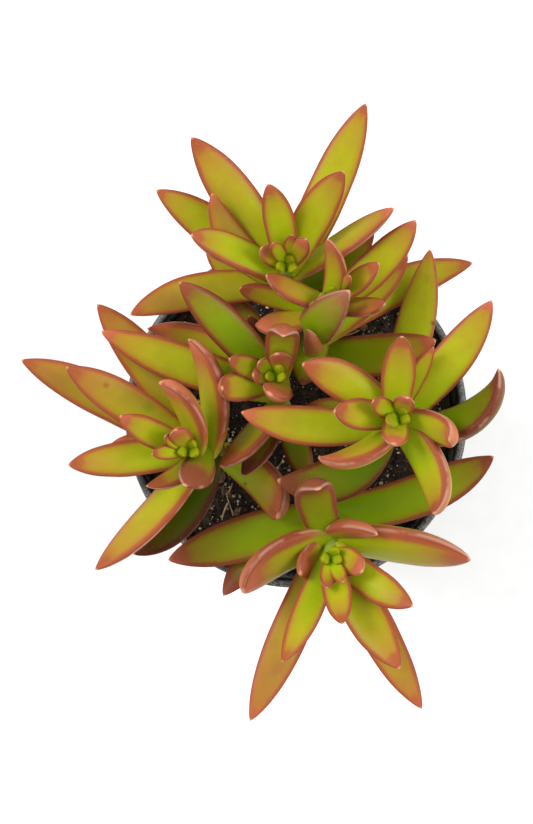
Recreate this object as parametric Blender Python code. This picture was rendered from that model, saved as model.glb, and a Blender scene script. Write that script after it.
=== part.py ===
"""A potted sedum: six leafy shoots of a rosette-forming stonecrop in a round nursery pot.

The origin is the middle of the pot's base, +Z is up and +Y is the top of the photograph, which looks
straight down on the plant. Sizes are in metres, and the rows of leaves are in millimetres and degrees.
"""

from collections import namedtuple
from math import atan2, cos, hypot, pi, radians, sin, tan

import bmesh
import bpy
from mathutils import Vector

MM = 0.001
CLEARANCE = 0.0003
SMOOTH_BELOW = 40

# The pot is a 9 cm nursery pot, turned, with a collar and a rolled lip at its rim
POT_HEIGHT = 0.080
RIM_RADIUS = 0.045
LIP_WIDTH = 0.002
LIP_ANGLES = (-30, 30, 90, 150)
COLLAR_HEIGHT = 0.009
COLLAR_STEP = 0.0015
WALL = 0.0012
FLOOR = 0.0015
BASE_RADIUS = 0.032
BASE_CHAMFER = 0.001
POT_SIDES = 40
DRAIN_HOLES = 6
DRAIN_RADIUS = 0.0035
DRAIN_CIRCLE = 0.022
DRAIN_SIDES = 12

# The soil fills the pot to a little under its rim, and its top is gently uneven: one wave crossed by
# another, and a weaker one aslant, by their turns for each metre
SOIL_LEVEL = 0.073
SOIL_SWELL = 0.0007
SOIL_RINGS = 5
WAVE_X = 190
WAVE_Y = 160
SLANT_X = 90
SLANT_Y = 230
SLANT_SHARE = 0.5

# A stem stands in a blind hole in the soil, thins upwards and bends over to its crown
STEM_DEPTH = 0.008
STEM_ROOT_RADIUS = 0.0026
STEM_CROWN_RADIUS = 0.0016
STEM_BEND = 0.45
STEM_SIDES = 8
STEM_RINGS = 9
HOLE_SPARE = 0.0006

# The photograph is seen from straight above: the pixel that looks straight down, the point on the table
# that it looks at, the camera's height and its focal length in pixels. A leaf's tip height is settled in
# small strides, since a higher tip is nearer to the camera and so lies elsewhere
PLUMB_ACROSS = 266.5
PLUMB_DOWN = 412.0
PLUMB_X = -0.00784
PLUMB_Y = 0.0013
CAMERA_HEIGHT = 0.830
FOCAL_PIXELS = 2851.7
AIM_ROUNDS = 60
AIM_STRIDE = 0.5

# A leaf is spindle-shaped and thick, flatter above than below, and widest at half its length
WIDEST = 0.5
ROOT_BREADTH = 0.55
THICKEST = 0.4
ROOT_DEPTH = 0.75
UPPER_SWELL = 0.13
LOWER_SWELL = 0.35
TIP_ROUNDING = 2.3
TIP_FULLNESS = 0.8
DEPTH_ROUNDING = 2.6
SWELL_FULLNESS = 0.7
LEAF_STATIONS = (0, 0.14, 0.32, 0.52, 0.72, 0.89)
LEAF_ANGLES = (0, 58, 122, 180, 238, 302)

# The youngest leaves stand in a tight bud on the crown, each a golden angle round from the last
BUD_LEAVES = 3
BUD_TURN = 137.5
BUD_START = 60
BUD_RISE = 70
BUD_LENGTH = 0.0065
BUD_WIDTH = 0.0030
BUD_FATNESS = 1.5

# One leaf: the pixel of its tip, across and down; its rise above level, where past 90 it leans back
# over the crown; its width; how far below the crown it grows; how far it bows (below zero with its
# tip up) and sweeps (above zero to its left), in percent of its length; its roll; and the hook of its tip
Leaf = namedtuple("Leaf", "across down rise width drop bow sweep roll hook", defaults=(0, 0))

TOP_LEAVES = (
    Leaf(273, 243, 68, 3.6, 1, -4, 0),
    Leaf(261, 248, 44, 5.5, 1.5, -4, 0),
    Leaf(292, 235, 58, 3.6, 1, -4, 0),
    Leaf(306, 239, 60, 5.5, 2, -4, 0),
    Leaf(268, 184, 45, 7.8, 4, -4, -3),
    Leaf(344, 171, 35, 9.5, 5, -4, 3),
    Leaf(191, 235, 35, 9.2, 6, -4, -5, roll=30),
    Leaf(191, 137, 15, 11, 8, -3, -2),
    Leaf(212, 193, 22, 7.8, 8, -3, 12),
    Leaf(394, 208, 27, 8.2, 8, -4, 4, roll=-45),
    Leaf(366, 103, 10, 10.5, 11, -3, -0.5),
    Leaf(156, 190, 10, 10.3, 12, -3, -2.5),
    Leaf(206, 242, 0, 8.5, 16, -3, 9),
    Leaf(130, 315, 6, 9.3, 13.5, -3, -8),
    Leaf(374, 230, 12, 9, 15, -3, -6),
)

UPPER_RIGHT_LEAVES = (
    Leaf(350, 276, 62, 4, 1, -4, 0),
    Leaf(379, 263, 42, 6.2, 3, -4, -1.5, roll=-20),
    Leaf(327, 239, 55, 6.8, 4, -4, -7, roll=-40),
    Leaf(266, 275, 38, 7.3, 4, -4, 1, roll=40),
    Leaf(385, 304, 42, 6.5, 5, -8, 3, roll=-40),
    Leaf(350, 290, 114, 10.5, 21, -14, -3),
    Leaf(416, 220, 22, 9, 7, -4, -4),
    Leaf(240, 288, 15, 7, 8.6, -7, 6, roll=-42, hook=0.4),
    Leaf(255, 325, 0, 9.5, 9, 0, 4, roll=50, hook=0.3),
    Leaf(408, 255, 10, 10.5, 24, -3, 0),
    Leaf(473, 263, -6, 10, 28, -3, 7),
    Leaf(307, 329, 97, 5.5, 37, -6, 2),
    Leaf(436, 340, 41, 11, 38, -3, -6),
    Leaf(302, 385, -12, 9, 18, 0, 0),
)

MIDDLE_LEAVES = (
    Leaf(259, 362, 56, 4.6, 1, -4, 0),
    Leaf(253, 375, 48, 5.4, 1.5, -4, 0),
    Leaf(276, 354, 60, 6.2, 1, -4, -12),
    Leaf(269, 393, 66, 8, 3, -4, 15),
    Leaf(229, 359, 42, 6, 3.5, -5, 0),
    Leaf(223, 388, 43, 7.6, 5, -10, 0, hook=0.8),
    Leaf(283, 337, 66, 8.5, 5, -16, 0, hook=0.6),
    Leaf(179, 282, 20, 9.7, 7, -3, -2),
    Leaf(249, 315, 8, 7, 12, -3, 0),
    Leaf(232, 296, 2, 10.5, 14, -3, 0),
    Leaf(101, 331, 4, 10.3, 10, -3, 2.5),
    Leaf(147, 329, -4, 10, 16, -3, -11, roll=-40),
    Leaf(220, 467, 15, 9.5, 13, -4, 0, roll=52),
    Leaf(242, 476, 6, 8.5, 17, -3, 0, roll=45),
    Leaf(308, 480, 0, 7, 28, 0, 0),
)

LEFT_LEAVES = (
    Leaf(176, 430, 66, 5.8, 1, -4, 0),
    Leaf(165, 436, 58, 4, 1, -4, 0),
    Leaf(152, 454, 52, 4, 1.5, -4, 0),
    Leaf(120, 416, 38, 7.2, 3.5, -4, 2),
    Leaf(146, 486, 30, 6.5, 6, -4, 13, roll=45),
    Leaf(184, 486, 114, 9, 11, 4, -5),
    Leaf(159, 383, 42, 10.5, 5, -9, -5, roll=-64, hook=0.4),
    Leaf(188, 339, 24, 11.8, 12.8, -8, -9, roll=-62, hook=0.3),
    Leaf(66, 367, 18, 10, 7, -3, -1),
    Leaf(68, 465, 18, 9.2, 7, -3, 0),
    Leaf(21, 360, 7, 10.5, 10, -3, -2),
    Leaf(111, 444, 4, 8, 11, -3, 0),
    Leaf(95, 570, 9, 10, 11, -3, 1.5, roll=40),
    Leaf(97, 304, 3, 11, 15, -3, -2),
    Leaf(132, 554, 0, 12, 17, -3, 9, roll=20),
    Leaf(277, 517, 30, 12.5, 27, -18, 0, roll=42, hook=0.4),
)

RIGHT_LEAVES = (
    Leaf(389, 423, 70, 4, 1, -4, 0),
    Leaf(373, 401, 56, 5, 1.5, -4, 0),
    Leaf(407, 398, 68, 5.5, 1.5, -4, 0),
    Leaf(394, 444, 60, 7, 2.5, -4, 0),
    Leaf(334, 411, 42, 8, 4, -4, 0),
    Leaf(402, 336, 38, 8.5, 5, -4, 0),
    Leaf(448, 440, 42, 9, 5.5, -13, 0, roll=42, hook=1.2),
    Leaf(433, 514, 26, 12, 8, -13, 4, roll=56, hook=0.6),
    Leaf(318, 457, 24, 10.5, 8, -9, 15, roll=68, hook=0.4),
    Leaf(302, 364, 27, 10, 7, -4, -6),
    Leaf(241, 412, 10, 10, 10, -3, 6),
    Leaf(492, 300, 14, 9.8, 9, -3, -4.5),
    Leaf(434, 347, 22, 4.5, 9, -3, 0),
    Leaf(498, 368, 25, 13, 12, -18, -13, roll=-58, hook=0.5),
    Leaf(303, 408, 3, 9, 16, -3, 0),
    Leaf(430, 249, 1, 10.5, 30, -3, -3, roll=-15),
    Leaf(277, 480, 0, 12, 17, -3, 21),
)

BOTTOM_LEAVES = (
    Leaf(343, 582, 63, 4, 1, -4, 0),
    Leaf(327, 588, 56, 4.4, 1.5, -4, 0),
    Leaf(362, 572, 48, 7, 2, -4, 6),
    Leaf(301, 574, 42, 8.5, 9.5, -6, 2, roll=-52, hook=0.2),
    Leaf(342, 624, 46, 7.3, 4, -4, 0),
    Leaf(413, 606, 32, 8.5, 5, -4, -4),
    Leaf(243, 593, 24, 14, 8, -9, -2, roll=-58, hook=0.3),
    Leaf(319, 490, 55, 10.5, 7, -18, 5, hook=0.5),
    Leaf(378, 535, 40, 10, 10, -4, 14, roll=72),
    Leaf(400, 669, 22, 10.5, 7, -3, -3),
    Leaf(282, 662, 26, 7.5, 7, -4, 3),
    Leaf(471, 560, 11, 14.5, 9, -3, -4, roll=58),
    Leaf(422, 709, 8, 9.8, 11, -3, -1.5),
    Leaf(250, 721, 8, 10, 11, -3, 0.5),
    Leaf(168, 560, -3, 12, 25, -3, 0.5),
    Leaf(223, 596, -5, 10, 27, -3, -10, roll=20),
    Leaf(494, 456, 2, 11.5, 24, -3, -7),
)

# One shoot: where its stem leaves the soil, the pixel and the height of its crown, and its leaves
Shoot = namedtuple("Shoot", "name root_x root_y crown_across crown_down crown_height leaves")

SHOOTS = (
    Shoot("shoot_top", -0.004, 0.025, 287, 262, 0.115, TOP_LEAVES),
    Shoot("shoot_upper_right", 0.003, 0.016, 330, 293, 0.114, UPPER_RIGHT_LEAVES),
    Shoot("shoot_middle", -0.002, -0.003, 275, 371, 0.110, MIDDLE_LEAVES),
    Shoot("shoot_left", -0.018, -0.010, 186, 449, 0.112, LEFT_LEAVES),
    Shoot("shoot_right", 0.020, -0.005, 400, 415, 0.120, RIGHT_LEAVES),
    Shoot("shoot_bottom", 0.009, -0.021, 331, 560, 0.112, BOTTOM_LEAVES),
)


def clear_scene():
    for thing in list(bpy.data.objects):
        bpy.data.objects.remove(thing, do_unlink=True)


def finish_material(name, colour, roughness):
    material = bpy.data.materials.new(name)
    material.use_nodes = True
    shader = material.node_tree.nodes["Principled BSDF"]
    shader.inputs["Base Color"].default_value = (*colour, 1)
    shader.inputs["Roughness"].default_value = roughness
    return material


def place(name, build, material, collection=None):
    """Turn a bmesh into an object, with round faces smooth and corners sharp."""
    mesh = bpy.data.meshes.new(name)
    build.to_mesh(mesh)
    build.free()
    mesh.shade_smooth()
    mesh.set_sharp_from_angle(angle=radians(SMOOTH_BELOW))
    mesh.materials.append(material)
    thing = bpy.data.objects.new(name, mesh)
    (collection or bpy.context.scene.collection).objects.link(thing)
    return thing


def bridge(build, lower, upper):
    """Skin two rings of equally many vertices with triangles, facing out where the rings run to the left."""
    count = len(lower)
    for i in range(count):
        k = (i + 1) % count
        build.faces.new((lower[i], lower[k], upper[k]))
        build.faces.new((lower[i], upper[k], upper[i]))


def fan(build, ring, middle, up):
    """Close a ring with triangles to a middle vertex, facing along the run of rings or against it."""
    for i in range(len(ring)):
        k = (i + 1) % len(ring)
        corners = (ring[i], ring[k], middle) if up else (ring[k], ring[i], middle)
        build.faces.new(corners)


def turned(profile, sides):
    """Turn a closed outline of (radius, height) points, run up its outer side, about the Z axis."""
    build = bmesh.new()
    rings = []
    for radius, height in profile:
        if radius == 0:
            rings.append([build.verts.new((0, 0, height))])
            continue
        angles = [2 * pi * i / sides for i in range(sides)]
        rings.append([build.verts.new((radius * cos(a), radius * sin(a), height)) for a in angles])
    for lower, upper in zip(rings, rings[1:]):
        if len(lower) == 1:
            fan(build, upper, lower[0], up=False)
        elif len(upper) == 1:
            fan(build, lower, upper[0], up=True)
        else:
            bridge(build, lower, upper)
    return build


def inner_radius(height):
    """The pot's inside, at a height, where its wall tapers up to the collar."""
    collar_base = POT_HEIGHT - COLLAR_HEIGHT
    wall_top = RIM_RADIUS - LIP_WIDTH / 2 - COLLAR_STEP - WALL
    wall_foot = BASE_RADIUS - WALL
    return wall_foot + (wall_top - wall_foot) * min(height / collar_base, 1)


def pot():
    lip = LIP_WIDTH / 2
    collar_base = POT_HEIGHT - COLLAR_HEIGHT
    collar_top = POT_HEIGHT - LIP_WIDTH - lip
    collar_radius = RIM_RADIUS - lip
    wall_radius = inner_radius(collar_base) + WALL
    profile = [(0, 0), (BASE_RADIUS - BASE_CHAMFER, 0), (BASE_RADIUS, BASE_CHAMFER)]
    profile += [(wall_radius, collar_base), (collar_radius, collar_base + COLLAR_STEP)]
    profile.append((collar_radius, collar_top))
    for degrees in LIP_ANGLES:
        turn = radians(degrees)
        profile.append((collar_radius + lip * cos(turn), POT_HEIGHT - lip + lip * sin(turn)))
    profile.append((collar_radius - WALL, collar_top))
    profile.append((collar_radius - WALL, collar_base + COLLAR_STEP))
    profile.append((inner_radius(collar_base), collar_base))
    profile += [(inner_radius(FLOOR), FLOOR), (0, FLOOR)]
    plastic = finish_material("black_plastic", (0.012, 0.013, 0.016), 0.35)
    body = place("pot", turned(profile, POT_SIDES), plastic)
    for i in range(DRAIN_HOLES):
        angle = 2 * pi * i / DRAIN_HOLES
        at = (DRAIN_CIRCLE * cos(angle), DRAIN_CIRCLE * sin(angle))
        drill(body, f"drain_{i}", at, DRAIN_RADIUS, -FLOOR, 2 * FLOOR, DRAIN_SIDES)


def drill(body, name, at, radius, low, high, sides):
    """Cut an upright round hole into a body, from one height to another."""
    build = turned([(0, low), (radius, low), (radius, high), (0, high)], sides)
    cutter = place(name + "_cutter", build, body.data.materials[0])
    cutter.location = (at[0], at[1], 0)
    cutter.hide_render = True
    cutter.display_type = "WIRE"
    cut = body.modifiers.new(name, "BOOLEAN")
    cut.operation = "DIFFERENCE"
    cut.solver = "EXACT"
    cut.object = cutter


def soil_height(x, y):
    wave = sin(WAVE_X * x) * cos(WAVE_Y * y) + SLANT_SHARE * sin(SLANT_X * x - SLANT_Y * y)
    return SOIL_LEVEL + SOIL_SWELL * wave


def soil():
    low = FLOOR + CLEARANCE
    build = turned([(0, low), (inner_radius(low) - CLEARANCE, low)], POT_SIDES)
    build.verts.ensure_lookup_table()
    rim = list(build.verts[1:])
    collar_base = POT_HEIGHT - COLLAR_HEIGHT
    angles = [2 * pi * i / POT_SIDES for i in range(POT_SIDES)]

    def ring(radius, height=None):
        spots = [(radius * cos(a), radius * sin(a)) for a in angles]
        return [build.verts.new((x, y, height or soil_height(x, y))) for x, y in spots]

    edge = inner_radius(collar_base) - CLEARANCE
    shoulder = ring(edge, collar_base - CLEARANCE)
    bridge(build, rim, shoulder)
    last = shoulder
    for step in range(SOIL_RINGS, 0, -1):
        inner = ring(edge * step / SOIL_RINGS)
        bridge(build, last, inner)
        last = inner
    fan(build, last, build.verts.new((0, 0, soil_height(0, 0))), up=True)
    peat = finish_material("peat", (0.022, 0.015, 0.010), 0.95)
    body = place("soil", build, peat)
    for shoot in SHOOTS:
        at = (shoot.root_x, shoot.root_y)
        foot = SOIL_LEVEL - STEM_DEPTH - CLEARANCE
        top = SOIL_LEVEL + STEM_DEPTH
        drill(body, shoot.name + "_hole", at, STEM_ROOT_RADIUS + HOLE_SPARE, foot, top, DRAIN_SIDES)


def seen_at(across, down, height):
    """The point at a height that the photograph shows at a pixel."""
    scale = (CAMERA_HEIGHT - height) / FOCAL_PIXELS
    x = PLUMB_X + (across - PLUMB_ACROSS) * scale
    y = PLUMB_Y - (down - PLUMB_DOWN) * scale
    return Vector((x, y, height))


class Stem:
    """A stem's middle line: upright out of the soil, then bent over to the crown."""

    SAMPLES = 40

    def __init__(self, shoot):
        self.root = Vector((shoot.root_x, shoot.root_y, SOIL_LEVEL - STEM_DEPTH))
        self.crown = seen_at(shoot.crown_across, shoot.crown_down, shoot.crown_height)
        bend = SOIL_LEVEL + STEM_BEND * (shoot.crown_height - SOIL_LEVEL)
        self.knee = Vector((shoot.root_x, shoot.root_y, bend))

    def point(self, t):
        return (1 - t) ** 2 * self.root + 2 * t * (1 - t) * self.knee + t * t * self.crown

    def heading(self, t):
        return ((1 - t) * (self.knee - self.root) + t * (self.crown - self.knee)).normalized()

    def below_crown(self, drop):
        """The point that lies a distance along the stem below its crown."""
        left = drop
        for i in range(self.SAMPLES, 0, -1):
            upper = self.point(i / self.SAMPLES)
            lower = self.point((i - 1) / self.SAMPLES)
            step = (lower - upper).length
            if left <= step:
                return upper.lerp(lower, left / step)
            left -= step
        return self.root

    def solid(self):
        build = bmesh.new()
        rings = []
        for i in range(STEM_RINGS):
            t = i / (STEM_RINGS - 1)
            along = self.heading(t)
            side = along.cross(Vector((0, 1, 0))).normalized()
            front = side.cross(along)
            radius = STEM_ROOT_RADIUS + (STEM_CROWN_RADIUS - STEM_ROOT_RADIUS) * t
            ring = []
            for k in range(STEM_SIDES):
                angle = 2 * pi * k / STEM_SIDES
                offset = side * cos(angle) - front * sin(angle)
                ring.append(build.verts.new(self.point(t) + radius * offset))
            rings.append(ring)
        for lower, upper in zip(rings, rings[1:]):
            bridge(build, lower, upper)
        fan(build, rings[0], build.verts.new(self.root), up=False)
        top = self.crown + self.heading(1) * STEM_CROWN_RADIUS / 2
        fan(build, rings[-1], build.verts.new(top), up=True)
        return build


def aim(base, leaf):
    """The turn and length of the straight line from a leaf's base to its tip in the photograph."""
    climb = abs(tan(radians(leaf.rise))) if leaf.rise > 90 else tan(radians(leaf.rise))
    height = base.z
    for _ in range(AIM_ROUNDS):
        tip = seen_at(leaf.across, leaf.down, height)
        reach = hypot(tip.x - base.x, tip.y - base.y)
        height += AIM_STRIDE * (base.z + reach * climb - height)
    turn = atan2(tip.y - base.y, tip.x - base.x)
    if leaf.rise > 90:
        turn += pi
    return turn, (tip - base).length


def breadth(t):
    """A leaf's breadth along its length, as a share of its width."""
    if t < WIDEST:
        return 1 - (1 - ROOT_BREADTH) * ((WIDEST - t) / WIDEST) ** 2
    return (1 - ((t - WIDEST) / (1 - WIDEST)) ** TIP_ROUNDING) ** TIP_FULLNESS


def depth(t):
    """A leaf's thickness along its length, as a share of its thickest."""
    if t < THICKEST:
        swell = ROOT_DEPTH + (1 - ROOT_DEPTH) * sin(pi / 2 * t / THICKEST)
    else:
        swell = 1 - ((t - THICKEST) / (1 - THICKEST)) ** DEPTH_ROUNDING
    return swell ** SWELL_FULLNESS


def leaf_solid(base, turn, rise, length, width, bow=0, sweep=0, roll=0, hook=0, fat=1):
    """A thick pointed leaf, whose middle line bows, sweeps and hooks about the line to its tip."""
    ahead = Vector((cos(rise) * cos(turn), cos(rise) * sin(turn), sin(rise)))
    level = Vector((-sin(turn), cos(turn), 0))
    above = ahead.cross(level)
    left = level * cos(roll) + above * sin(roll)
    face = above * cos(roll) - level * sin(roll)
    bulge = 4 * (face * bow + left * sweep) / 100
    build = bmesh.new()
    rings = []
    for t in LEAF_STATIONS:
        middle = base + length * (ahead * (t + hook * t * t * (1 - t)) + bulge * t * (1 - t))
        along = (ahead * (1 + hook * (2 * t - 3 * t * t)) + bulge * (1 - 2 * t)).normalized()
        side = (left - along * left.dot(along)).normalized()
        normal = along.cross(side)
        ring = []
        for degrees in LEAF_ANGLES:
            angle = radians(degrees)
            swell = fat * (UPPER_SWELL if degrees < 180 else LOWER_SWELL)
            across = side * cos(angle) * breadth(t) * width / 2
            ring.append(build.verts.new(middle + across + normal * sin(angle) * swell * depth(t) * width))
        rings.append(ring)
    for lower, upper in zip(rings, rings[1:]):
        bridge(build, lower, upper)
    fan(build, rings[0], build.verts.new(base), up=False)
    fan(build, rings[-1], build.verts.new(base + ahead * length), up=True)
    return build


def grow(shoot, material):
    """One shoot: its stem, with its leaves and the bud on its crown grown into it as one solid."""
    stem = Stem(shoot)
    body = place(shoot.name, stem.solid(), material)
    foliage = bpy.data.collections.new(shoot.name + "_leaves")
    bpy.context.scene.collection.children.link(foliage)
    for i in range(BUD_LEAVES):
        turn = radians(BUD_START + BUD_TURN * i)
        base = stem.below_crown(STEM_CROWN_RADIUS)
        bud = leaf_solid(base, turn, radians(BUD_RISE), BUD_LENGTH, BUD_WIDTH, fat=BUD_FATNESS)
        place(f"{shoot.name}_bud_{i}", bud, material, foliage)
    for i, leaf in enumerate(shoot.leaves):
        base = stem.below_crown(leaf.drop * MM)
        turn, length = aim(base, leaf)
        curve = (leaf.bow, leaf.sweep, radians(leaf.roll), leaf.hook)
        blade = leaf_solid(base, turn, radians(leaf.rise), length, leaf.width * MM, *curve)
        place(f"{shoot.name}_leaf_{i}", blade, material, foliage)
    join(body, foliage)


def join(body, foliage):
    """Unite a body with a collection's solids in one Boolean, and remove the collection."""
    union = body.modifiers.new("grown_together", "BOOLEAN")
    union.operation = "UNION"
    union.operand_type = "COLLECTION"
    union.collection = foliage
    union.solver = "MANIFOLD"
    whole = bpy.data.meshes.new_from_object(body.evaluated_get(bpy.context.evaluated_depsgraph_get()))
    body.modifiers.remove(union)
    body.data = whole
    for part in list(foliage.objects):
        bpy.data.objects.remove(part, do_unlink=True)
    bpy.data.collections.remove(foliage)


def main():
    clear_scene()
    pot()
    soil()
    green = finish_material("succulent_leaf", (0.36, 0.38, 0.05), 0.4)
    for shoot in SHOOTS:
        grow(shoot, green)


main()
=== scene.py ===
from collections import namedtuple
from math import atan2, cos, exp, hypot, pi, radians, sin, tan
from random import Random

import bmesh
import bpy
from mathutils import Matrix, Vector, noise


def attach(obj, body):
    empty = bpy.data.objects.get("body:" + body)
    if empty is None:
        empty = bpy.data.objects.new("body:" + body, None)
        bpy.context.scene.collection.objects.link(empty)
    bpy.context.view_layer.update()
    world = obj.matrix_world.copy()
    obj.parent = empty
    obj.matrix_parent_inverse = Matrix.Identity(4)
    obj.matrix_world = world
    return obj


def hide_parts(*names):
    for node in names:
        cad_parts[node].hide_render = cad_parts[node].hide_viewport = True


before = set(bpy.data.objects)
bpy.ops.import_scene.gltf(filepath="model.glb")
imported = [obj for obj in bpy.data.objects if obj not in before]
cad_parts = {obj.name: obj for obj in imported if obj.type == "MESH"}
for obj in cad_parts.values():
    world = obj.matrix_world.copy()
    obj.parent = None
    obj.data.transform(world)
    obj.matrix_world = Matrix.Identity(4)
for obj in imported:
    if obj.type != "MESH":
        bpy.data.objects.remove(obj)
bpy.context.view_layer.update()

# The view: straight down on the plant, as the photograph is taken. The camera stands over the point on
# the table that the photograph's middle shows, and its focal length is given in the photograph's pixels.

PHOTO_WIDTH = 533
FOCAL_PIXELS = 2851.7
PLUMB_ACROSS = 266.5
PLUMB_DOWN = 412.0
PLUMB_X = -0.00784
PLUMB_Y = 0.0013
CAMERA_HEIGHT = 0.830
SENSOR = 36
CLIP_START = 0.01
CLIP_END = 20

camera_data = bpy.data.cameras.new("camera")
camera_data.sensor_fit = "HORIZONTAL"
camera_data.sensor_width = SENSOR
camera_data.lens = FOCAL_PIXELS / PHOTO_WIDTH * SENSOR
camera_data.clip_start = CLIP_START
camera_data.clip_end = CLIP_END
camera = bpy.data.objects.new("camera", camera_data)
camera.location = (PLUMB_X, PLUMB_Y, CAMERA_HEIGHT)
bpy.context.scene.collection.objects.link(camera)
bpy.context.scene.camera = camera
bpy.context.scene.view_settings.view_transform = "Standard"

# The studio: a white sky all round, a broad lamp high on the upper left and a weaker one on the right,
# both soft, and a floor of pale board that throws light back under the leaves.

SKY_STRENGTH = 0.78
SKY_COLOUR = (1, 1, 1, 1)
LAMPS = (
    ("lamp_left", (-0.95, 0.45, 1.00), 0.7, 14),
    ("lamp_right", (1.00, 0.10, 0.85), 0.7, 10),
)
FLOOR_REACH = 2.5
FLOOR_CELLS = 4
BOARD_GRAIN = 180
BOARD_STOPS = ((0.3, (0.93, 0.93, 0.925)), (0.7, (0.96, 0.96, 0.955)))


def add_node(tree, kind, inputs=None, **settings):
    """Adds a shader node, with its inputs by name or number and its settings."""
    node = tree.nodes.new("ShaderNode" + kind)
    for name, value in settings.items():
        setattr(node, name, value)
    feed(tree, node, inputs or {})
    return node


def feed(tree, node, inputs):
    """Gives a node its inputs, each a plain value or the socket that feeds it."""
    for key, value in inputs.items():
        if isinstance(value, bpy.types.NodeSocket):
            tree.links.new(value, node.inputs[key])
        else:
            node.inputs[key].default_value = value


def object_place(tree):
    return add_node(tree, "TexCoord").outputs["Object"]


def noise_at(tree, place, scale, detail, roughness=0.5):
    """A noise texture's value, with its scale in cycles per metre."""
    inputs = {"Vector": place, "Scale": scale, "Detail": detail, "Roughness": roughness}
    return add_node(tree, "TexNoise", inputs).outputs["Fac"]


def ramp(tree, factor, stops):
    """A colour ramp's colour, from stops of (place, colour)."""
    node = add_node(tree, "ValToRGB", {"Fac": factor})
    elements = node.color_ramp.elements
    while len(elements) < len(stops):
        elements.new(1)
    for element, (place, colour) in zip(elements, stops):
        element.position = place
        element.color = (*colour, 1)
    return node.outputs["Color"]


def start_material(name, **values):
    """A new material, its tree and its shader, with plain values set on the shader's own sockets."""
    material = bpy.data.materials.new(name)
    material.use_nodes = True
    shader = material.node_tree.nodes["Principled BSDF"]
    for key, value in values.items():
        shader.inputs[key.replace("_", " ")].default_value = value
    return material, material.node_tree, shader


def studio():
    """The sky and the two lamps, which are aimed at the foot of the pot."""
    sky = bpy.data.worlds.new("studio_sky")
    sky.use_nodes = True
    sky.node_tree.nodes["Background"].inputs["Color"].default_value = SKY_COLOUR
    sky.node_tree.nodes["Background"].inputs["Strength"].default_value = SKY_STRENGTH
    bpy.context.scene.world = sky
    for name, place, size, power in LAMPS:
        data = bpy.data.lights.new(name, "AREA")
        data.shape = "DISK"
        data.size = size
        data.energy = power
        lamp = bpy.data.objects.new(name, data)
        lamp.location = place
        lamp.rotation_euler = (-Vector(place)).to_track_quat("-Z", "Y").to_euler()
        bpy.context.scene.collection.objects.link(lamp)


def pale_board():
    material, tree, shader = start_material("pale_board", Roughness=0.7)
    grain = noise_at(tree, object_place(tree), BOARD_GRAIN, 3)
    feed(tree, shader, {"Base Color": ramp(tree, grain, BOARD_STOPS)})
    return material


def floor_board():
    build = bmesh.new()
    bmesh.ops.create_grid(build, x_segments=FLOOR_CELLS, y_segments=FLOOR_CELLS, size=FLOOR_REACH)
    mesh = bpy.data.meshes.new("floor")
    build.to_mesh(mesh)
    build.free()
    mesh.materials.append(pale_board())
    floor = bpy.data.objects.new("floor", mesh)
    bpy.context.scene.collection.objects.link(floor)


studio()
floor_board()

# The pot: a round 9 cm nursery pot, moulded in one piece from thin black plastic, with a collar and a
# rolled lip at its rim, drain holes in its flat base, and a faintly rippled skin. Its lip is greyed by
# pale dust and painted highlight together, the two in one mask.

POT_HEIGHT = 0.080
RIM_RADIUS = 0.045
LIP_WIDTH = 0.002
LIP_START = -70
LIP_SWEEP = 260
LIP_NECK = 0.0016
COLLAR_HEIGHT = 0.009
COLLAR_STEP = 0.0015
WALL = 0.0012
FLOOR = 0.0015
FILLET_RISE = 0.0009
FILLET_OUT = 0.0005
FILLET_IN = 0.00075
BASE_RADIUS = 0.032
BASE_CHAMFER = 0.001
DRAIN_HOLES = 6
DRAIN_RADIUS = 0.0035
DRAIN_CIRCLE = 0.022
DRILL_LENGTH = 0.009
POT_SIDES = 160
DRAIN_SIDES = 32
CHAMFER_BANDS = 4
WALL_BANDS = 16
COLLAR_BANDS = 6
LIP_POINTS = 14
SMOOTH_BELOW = 40

PLASTIC_STOPS = ((0.3, (0.012, 0.013, 0.016)), (0.7, (0.022, 0.023, 0.027)))
PLASTIC_RIPPLE = 210
PLASTIC_PEEL = 1400
PLASTIC_GLOSS = (0.30, 0.48)
# A relief is its strength and its depth. A dust is its amount and how many patches it has to the metre
PLASTIC_RELIEF = (0.12, 0.0004)
# The pot's dust is laid on thick, so that on the up-facing lip it is painted highlight as well as dust
POT_DUST_AND_SHEEN = (7.0, 90)
POT_DUST_AND_SHEEN_COLOUR = (0.20, 0.19, 0.18)
DUST_ROUGHENS = 0.4
DUST_SPECKS = 2600
DUST_PATCH_RANGE = (0.35, 0.75)
DUST_SPECK_RANGE = (0.45, 0.75)
DUST_LEVEL_RANGE = (0.1, 1.0, 0.06)


def place_piece(name, build, material, replaced=(), smooth_below=SMOOTH_BELOW):
    """Turns a bmesh into a piece that stands on the one body, with corners sharper than an angle kept."""
    bmesh.ops.recalc_face_normals(build, faces=build.faces)
    mesh = bpy.data.meshes.new(name)
    build.to_mesh(mesh)
    build.free()
    mesh.shade_smooth()
    mesh.set_sharp_from_angle(angle=radians(smooth_below))
    mesh.materials.append(material)
    piece = bpy.data.objects.new(name, mesh)
    bpy.context.scene.collection.objects.link(piece)
    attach(piece, "root")
    if replaced:
        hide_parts(*replaced)
    return piece


def bridge(build, lower, upper):
    """Skins two rings of equally many vertices with quads."""
    for i in range(len(lower)):
        after = (i + 1) % len(lower)
        build.faces.new((lower[i], lower[after], upper[after], upper[i]))


def fan(build, ring, middle):
    """Closes a ring with triangles about its middle."""
    for i in range(len(ring)):
        build.faces.new((ring[i], ring[(i + 1) % len(ring)], middle))


def circle_of(build, radius, height, sides):
    angles = [2 * pi * i / sides for i in range(sides)]
    return [build.verts.new((radius * cos(a), radius * sin(a), height)) for a in angles]


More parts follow.
